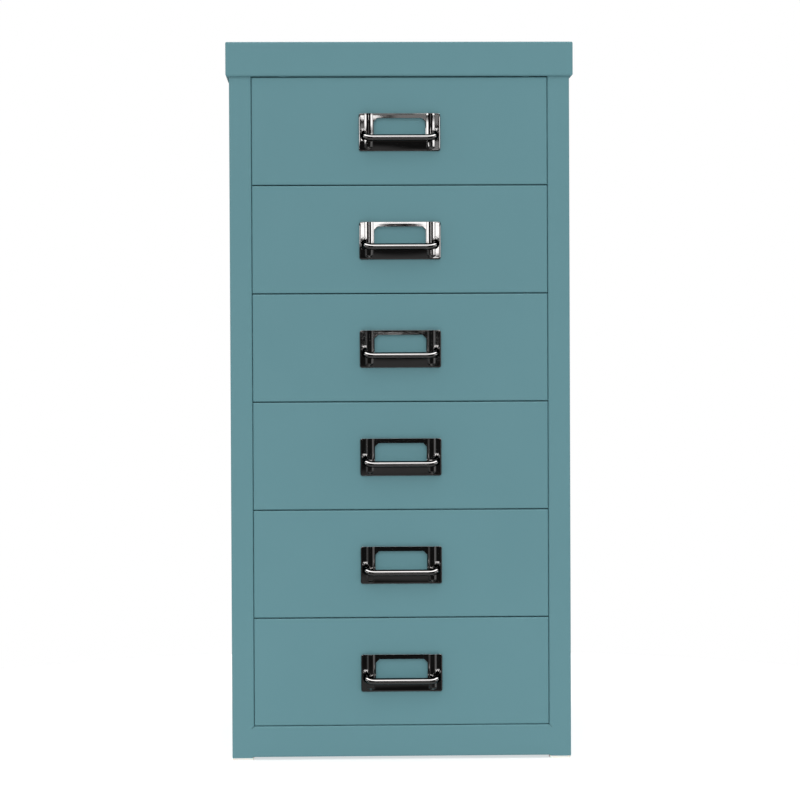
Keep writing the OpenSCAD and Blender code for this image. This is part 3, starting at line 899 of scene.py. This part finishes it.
    def bow(self) -> None:
        """The round bow: a circle carried along two arms, two bends and a bar, flared at its roots.

        The upper half of the ring grows taller on its way from the bar to the plate.

        The path lies in a plane that is tilted down from the plate. A ring's point is
        centre + r (cos a n + sin a b), where n is the plane's normal and b lies in the plane across
        the path.
        """
        forward = self.reach - self.bow_radius
        tilt = math.atan2(self.bow_drop, forward)
        length = math.hypot(self.bow_drop, forward)
        arm_x, bend = self.bow_span / 2, self.bow_bend
        start = self.face_out - self.bow_sink
        quarter = np.linspace(0, np.pi / 2, self.bend_lines)
        arm = start + (length - bend - start) * (1 - np.cos(quarter))
        turn = quarter[1:-1]
        bar = np.linspace(arm_x - bend, 0, self.bar_lines)
        x = np.concatenate([np.full(len(arm), arm_x), arm_x - bend * (1 - np.cos(turn)), bar])
        w = np.concatenate([arm, length - bend + bend * np.sin(turn), np.full(len(bar), length)])
        heading = np.concatenate([np.zeros(len(arm)), turn, np.full(len(bar), np.pi / 2)])
        x = np.concatenate([x, -x[-2::-1]])
        w = np.concatenate([w, w[-2::-1]])
        heading = np.concatenate([heading, np.pi - heading[-2::-1]])
        angle = np.linspace(0, 2 * np.pi, self.bow_sides, endpoint=False)
        root = np.clip((w - start) / self.flare, 0.0, 1.0)
        radius = self.bow_radius + self.flare * (1 - np.sqrt(1 - (1 - root) ** 2))
        share = np.clip((length - w) / (length - start), 0.0, 1.0)
        taller = self.arm_rise * share ** self.arm_power
        up = radius[:, None] * np.cos(angle) + taller[:, None] * np.clip(np.cos(angle), 0.0, None)
        across = radius[:, None] * np.sin(angle)
        px = x[:, None] + across * np.cos(heading)[:, None]
        pw = w[:, None] + across * np.sin(heading)[:, None]
        out = pw * math.cos(tilt) + up * math.sin(tilt)
        rise = -self.bow_root_drop - pw * math.sin(tilt) + up * math.cos(tilt)
        around = np.arange(self.bow_sides)
        last = (len(x) - 1) * self.bow_sides
        faces = grid_faces(len(x), self.bow_sides, wrap=True)[:, ::-1].tolist()
        faces += [around.tolist(), (last + around)[::-1].tolist()]
        mesh_piece(f"pull_bow_{self.number}", self.placed(px, out, rise), faces, self.material,
                   self.body)

    def tabs(self) -> None:
        """The four holding tabs: strips that run through the drawer's front and turn up or down.

        A strip's section is a rectangle carried along a path of a straight run, a quarter circle and
        another straight run, in the plane across the plate.
        """
        half, bend = self.sheet / 2, self.tab_bend
        behind = -(self.front_sheet + half)
        turn = np.linspace(0, np.pi / 2, self.tab_lines)
        run = np.concatenate([[self.face_out - self.sheet], behind + bend * (1 - np.sin(turn)),
                              [behind]])
        lift = np.concatenate([[0.0], bend * (1 - np.cos(turn)), [self.tab_l]])
        heading = np.concatenate([[0.0], turn, [np.pi / 2]])
        across = np.array([-1, 1, 1, -1]) * self.tab_w / 2
        thick = np.array([-1, -1, 1, 1]) * half
        out = run[:, None] + thick * np.sin(heading)[:, None]
        rise = self.tab_rise + lift[:, None] + thick * np.cos(heading)[:, None]
        x = np.broadcast_to(across, out.shape)
        form = np.concatenate([grid_faces(len(run), 4, wrap=True), [[3, 2, 1, 0]],
                               [4 * (len(run) - 1) + np.arange(4)]])
        places = [(side, up) for side in (-1, 1) for up in (-1, 1)]
        points = np.stack([self.placed(side * self.bow_span / 2 + x, out, up * rise)
                           for side, up in places])
        faces = np.concatenate([place * out.size + form[:, ::-up]
                                for place, (_, up) in enumerate(places)])
        piece = mesh_piece(f"pull_tabs_{self.number}", points, faces.tolist(), self.material,
                           self.body)
        ease_edges(piece, self.tab_ease)


# ---------------------------------------------------------------------------------------------
# Cabinet
# ---------------------------------------------------------------------------------------------


@dataclass
class Carcass:
    """The welded case with its uprights, fixed rails and feet."""

    palette: Palette
    nodes: dict[str, bpy.types.Object]
    body: str = "carcass"
    foot_middle: float = 2.5 * MM
    flange_middle: float = 6.0 * MM
    weld_margin: float = 22.0 * MM
    weld_count: int = 8
    weld_radii: tuple[float, ...] = (2.4 * MM, 2.3 * MM, 2.0 * MM, 1.7 * MM, 0.8 * MM)
    weld_heights: tuple[float, ...] = (-0.1 * MM, 0.08 * MM, 0.14 * MM, 0.06 * MM, 0.05 * MM)

    def build(self) -> None:
        """Dresses the case and marks its spot welds."""
        for name, node in self.nodes.items():
            if name.startswith("cabinet_runners"):
                self.palette.dress(node, Slot.ZINC)
            elif name == "corner_feet":
                self.palette.dress(node, Slot.NYLON)
            elif not name.startswith("drawer_"):
                self.palette.dress(node, Slot.PAINT)
        self.welds()

    def welds(self) -> None:
        """Spot-weld marks, shallow rings under the paint.

        On the walls they follow the feet of the uprights, and behind they follow the rear flanges.
        """
        low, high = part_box("side_panel_left")[0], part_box("side_panel_right")[1]
        rows = []
        for upright in ("upright_front_left", "upright_rear_left"):
            near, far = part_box(upright)
            z = np.linspace(near.z + self.weld_margin, far.z - self.weld_margin, self.weld_count)
            for y in (near.y + self.foot_middle, far.y - self.foot_middle):
                for x, side in ((low.x, -1.0), (high.x, 1.0)):
                    rows += [(x, y, height, side, 0.0) for height in z]
        for x in (low.x + self.flange_middle, high.x - self.flange_middle):
            rows += [(x, high.y, height, 0.0, 1.0) for height in z]
        marks = np.array(rows)
        normals = np.pad(marks[:, 3:], ((0, 0), (0, 1)))
        points, faces = stamped(marks[:, :3], normals, np.array(self.weld_radii),
                                np.array(self.weld_heights))
        mesh_piece("carcass_weld_marks", points, faces, self.palette.of(Slot.PAINT), self.body)


@dataclass
class Drawer:
    """One drawer: front, tray, pull, rails, ball cages and balls."""

    number: int
    palette: Palette
    nodes: dict[str, bpy.types.Object]
    finishes: dict[str, Slot] = field(default_factory=lambda: {
        "front": Slot.PAINT, "tray": Slot.PAINT, "channels": Slot.ZINC,
        "ball_cages": Slot.NYLON, "balls": Slot.BALLS})
    sheet: float = 0.8 * MM
    rivet_rise: float = 10.5 * MM
    rivet_setback: float = 20.0 * MM
    rivet_count: int = 3
    rivet_radii: tuple[float, ...] = (2.6 * MM, 2.6 * MM, 2.35 * MM, 1.8 * MM, 1.0 * MM)
    rivet_heights: tuple[float, ...] = (-0.2 * MM, 0.2 * MM, 0.5 * MM, 0.75 * MM, 0.9 * MM)

    def build(self) -> None:
        """Dresses the drawer's nodes and builds its rivets and its pull.

        The painted sheets are kept out of mirror rays, so the pull's plating stays free of their hue.
        """
        for part, slot in self.finishes.items():
            node = self.nodes[f"drawer_{self.number}_{part}"]
            self.palette.dress(node, slot)
            node.visible_glossy = slot is not Slot.PAINT
        self.rivets()
        PressedPull(self.number, self.palette.of(Slot.CHROME)).build()

    def rivets(self) -> None:
        """Rivet heads inside the tray, which hold the moving rails by their upper and lower strips."""
        near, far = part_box(f"drawer_{self.number}_channels")
        middle = (near.z + far.z) / 2
        along = np.linspace(near.y + self.rivet_setback, far.y - self.rivet_setback, self.rivet_count)
        side, rise, y = (a.ravel() for a in np.meshgrid([-1.0, 1.0], [-1.0, 1.0], along))
        centres = np.stack([side * self.wall_x(), y, middle + rise * self.rivet_rise], -1)
        normals = np.stack([-side, 0 * side, 0 * side], -1)
        points, faces = stamped(centres, normals, np.array(self.rivet_radii),
                                np.array(self.rivet_heights))
        mesh_piece(f"drawer_{self.number}_rivets", points, faces, self.palette.of(Slot.ZINC),
                   f"drawer_{self.number}")

    def wall_x(self) -> float:
        """Half the tray's inner width: its rails' vertices nearest the middle, less its sheet.

        Returns:
            The x of the right wall's inner face.
        """
        mesh = self.nodes[f"drawer_{self.number}_channels"].data
        places = np.empty(len(mesh.vertices) * 3)
        mesh.vertices.foreach_get("co", places)
        return float(np.abs(places[0::3]).min()) - self.sheet


# ---------------------------------------------------------------------------------------------
# Studio
# ---------------------------------------------------------------------------------------------


@dataclass(frozen=True)
class Viewpoint:
    """Where the camera stands and how it is turned, for a square picture."""

    to_front: float = 2.2
    x: float = -0.0568
    z: float = 0.3348
    yaw: float = -1.466
    pitch: float = -1.005
    roll: float = 0.244
    focal_pixels: float = 2676.3
    picture_pixels: float = 800.0
    sensor: float = 36.0
    clip: Range = (0.05, 50.0)

    def build(self, front: float) -> None:
        """Makes the camera.

        Args:
            front: The y of the cabinet's front face.
        """
        data = bpy.data.cameras.new("studio_camera")
        data.sensor_width = self.sensor
        data.lens = self.focal_pixels * self.sensor / self.picture_pixels
        data.clip_start, data.clip_end = self.clip
        camera = bpy.data.objects.new("studio_camera", data)
        turn = (Matrix.Rotation(math.radians(self.yaw), 4, "Z")
                @ Matrix.Rotation(math.radians(self.pitch), 4, "X")
                @ Matrix.Rotation(math.radians(self.roll), 4, "Y")
                @ Matrix.Rotation(math.pi / 2, 4, "X"))
        camera.matrix_world = Matrix.Translation((self.x, front - self.to_front, self.z)) @ turn
        bpy.context.scene.collection.objects.link(camera)
        bpy.context.scene.camera = camera


@dataclass(frozen=True)
class Lamp:
    """A soft light from far away, at an azimuth and an elevation seen from the cabinet."""

    name: str
    azimuth: float
    elevation: float
    strength: float
    angle: float

    def build(self) -> None:
        """Makes the light.

        The polished parts don't mirror it, since the room has its own bright shapes for them.
        """
        data = bpy.data.lights.new(self.name, "SUN")
        data.energy = self.strength
        data.angle = math.radians(self.angle)
        lamp = bpy.data.objects.new(self.name, data)
        azimuth, elevation = math.radians(self.azimuth), math.radians(self.elevation)
        towards = Vector((math.sin(azimuth) * math.cos(elevation),
                          -math.cos(azimuth) * math.cos(elevation), math.sin(elevation)))
        lamp.rotation_mode = "QUATERNION"
        lamp.rotation_quaternion = towards.to_track_quat("Z", "Y")
        lamp.visible_glossy = False
        bpy.context.scene.collection.objects.link(lamp)


@dataclass(frozen=True)
class RoomShape:
    """A bright or grey shape in the room, as ranges of the direction's x and z."""

    name: str
    level: float
    up: Range
    blur: float
    across: Range = (-2.0, 2.0)
    across_blur: float = 0.015
    both_sides: bool = False

    def build(self, sketch: NodeSketch, x: Socket, z: Socket) -> Socket:
        """Works out the shape's brightness in each direction.

        Args:
            sketch: The world's nodes.
            x: The direction's x.
            z: The direction's z.

        Returns:
            The brightness.
        """
        place = sketch.math("ABSOLUTE", x) if self.both_sides else x
        cover = sketch.math("MULTIPLY", sketch.between(place, *self.across, self.across_blur),
                            sketch.between(z, *self.up, self.blur))
        return sketch.math("MULTIPLY", cover, self.level)


@dataclass(frozen=True)
class Studio:
    """A white table in a room that is dark towards the camera, with soft light from the front."""

    floor_radius: float = 0.62
    floor_sides: int = 96
    tent: float = 0.95
    room: float = 0.012
    backdrop: float = 0.12
    backdrop_from: Range = (0.1, 0.5)
    shapes: tuple[RoomShape, ...] = (
        RoomShape("opening", level=3.0, up=(0.024, 0.059), blur=0.006, across=(-0.035, 0.085)),
        RoomShape("wall", level=0.38, up=(0.083, 0.26), blur=0.01, across=(-0.035, 0.085)),
        RoomShape("screens", level=3.0, up=(0.03, 0.1), blur=0.012, across=(0.79, 2.0),
                  across_blur=0.05, both_sides=True),
        RoomShape("strip", level=3.6, up=(0.52, 0.87), blur=0.02),
        RoomShape("ceiling", level=0.2, up=(0.8, 1.1), blur=0.02),
        RoomShape("low_front", level=0.06, up=(-0.3, -0.15), blur=0.04),
        RoomShape("under_bar", level=0.12, up=(-1.1, -0.45), blur=0.05),
        RoomShape("right_curtain", level=0.24, up=(-0.15, 0.02), blur=0.02, across=(0.79, 2.0),
                  across_blur=0.05),
        RoomShape("left_curtain", level=0.1, up=(-0.15, 0.02), blur=0.02, across=(-2.0, -0.79),
                  across_blur=0.05),
    )
    lamps: tuple[Lamp, ...] = (
        Lamp("key_light", azimuth=-4.0, elevation=42.0, strength=0.5, angle=26.0),
        Lamp("low_fill", azimuth=0.0, elevation=7.0, strength=0.35, angle=8.0),
    )

    def build(self) -> None:
        """Makes the table, the room's light and the lamps."""
        self.table()
        self.room_light()
        for lamp in self.lamps:
            lamp.build()
        bpy.context.scene.view_settings.view_transform = "Standard"

    def table(self) -> None:
        """A round table top, which ends where the room's white takes over."""
        angle = np.linspace(0, 2 * np.pi, self.floor_sides, endpoint=False)
        points = self.floor_radius * np.stack([np.cos(angle), np.sin(angle), 0 * angle], -1)
        mesh = bpy.data.meshes.new("table_top")
        mesh.from_pydata(points.tolist(), [], [list(range(self.floor_sides))])
        mesh.materials.append(StudioFloor().material())
        floor = bpy.data.objects.new("table_top", mesh)
        bpy.context.scene.collection.objects.link(floor)
        floor.visible_glossy = False

    def room_light(self) -> None:
        """Light from the room: an even tent, whose reflections show a dark front with bright bands."""
        world = bpy.data.worlds.new("studio_room")
        bpy.context.scene.world = world
        sketch = NodeSketch(world)
        split = sketch.nodes.new("ShaderNodeSeparateXYZ")
        direction = sketch.nodes.new("ShaderNodeTexCoord").outputs["Generated"]
        sketch.links.new(direction, split.inputs["Vector"])
        rays = sketch.nodes.new("ShaderNodeLightPath")
        tent = sketch.nodes.new("ShaderNodeMix")
        tent.inputs["A"].default_value = self.tent
        sketch.links.new(rays.outputs["Is Glossy Ray"], tent.inputs["Factor"])
        sketch.links.new(self.reflected_room(sketch, *split.outputs), tent.inputs["B"])
        lit = sketch.math("MAXIMUM", tent.outputs["Result"], rays.outputs["Is Camera Ray"])
        light = sketch.nodes.new("ShaderNodeBackground")
        light.inputs["Color"].default_value = WHITE
        sketch.links.new(lit, light.inputs["Strength"])
        out = sketch.nodes.new("ShaderNodeOutputWorld")
        sketch.links.new(light.outputs["Background"], out.inputs["Surface"])

    def reflected_room(self, sketch: NodeSketch, x: Socket, y: Socket, z: Socket) -> Socket:
        """Works out how bright the room is as the polished parts mirror it.

        The room is dark in front and grey behind. A shape is a smooth share between two values of x
        times one between two values of z, and the brightest shape shows in each direction.

        Args:
            sketch: The world's nodes.
            x: The direction's x.
            y: The direction's y.
            z: The direction's z.

        Returns:
            The brightness in each direction.
        """
        lit = sketch.spread(y, 0.0, self.backdrop, *self.backdrop_from, smooth=True)
        for shape in self.shapes:
            lit = sketch.math("MAXIMUM", lit, shape.build(sketch, x, z))
        return sketch.math("ADD", lit, self.room)


def main() -> None:
    """Loads the frame and builds the cabinet's looks and the studio."""
    logging.basicConfig(level=logging.INFO, format="%(name)s %(message)s")
    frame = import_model()
    palette = Palette()
    Carcass(palette, frame["nodes"]).build()
    for number in range(1, 1 + sum(n.endswith("_front") for n in frame["nodes"])):
        Drawer(number, palette, frame["nodes"]).build()
    Viewpoint().build(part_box("side_panel_left")[0].y)
    Studio().build()


if __name__ == "__main__":
    main()
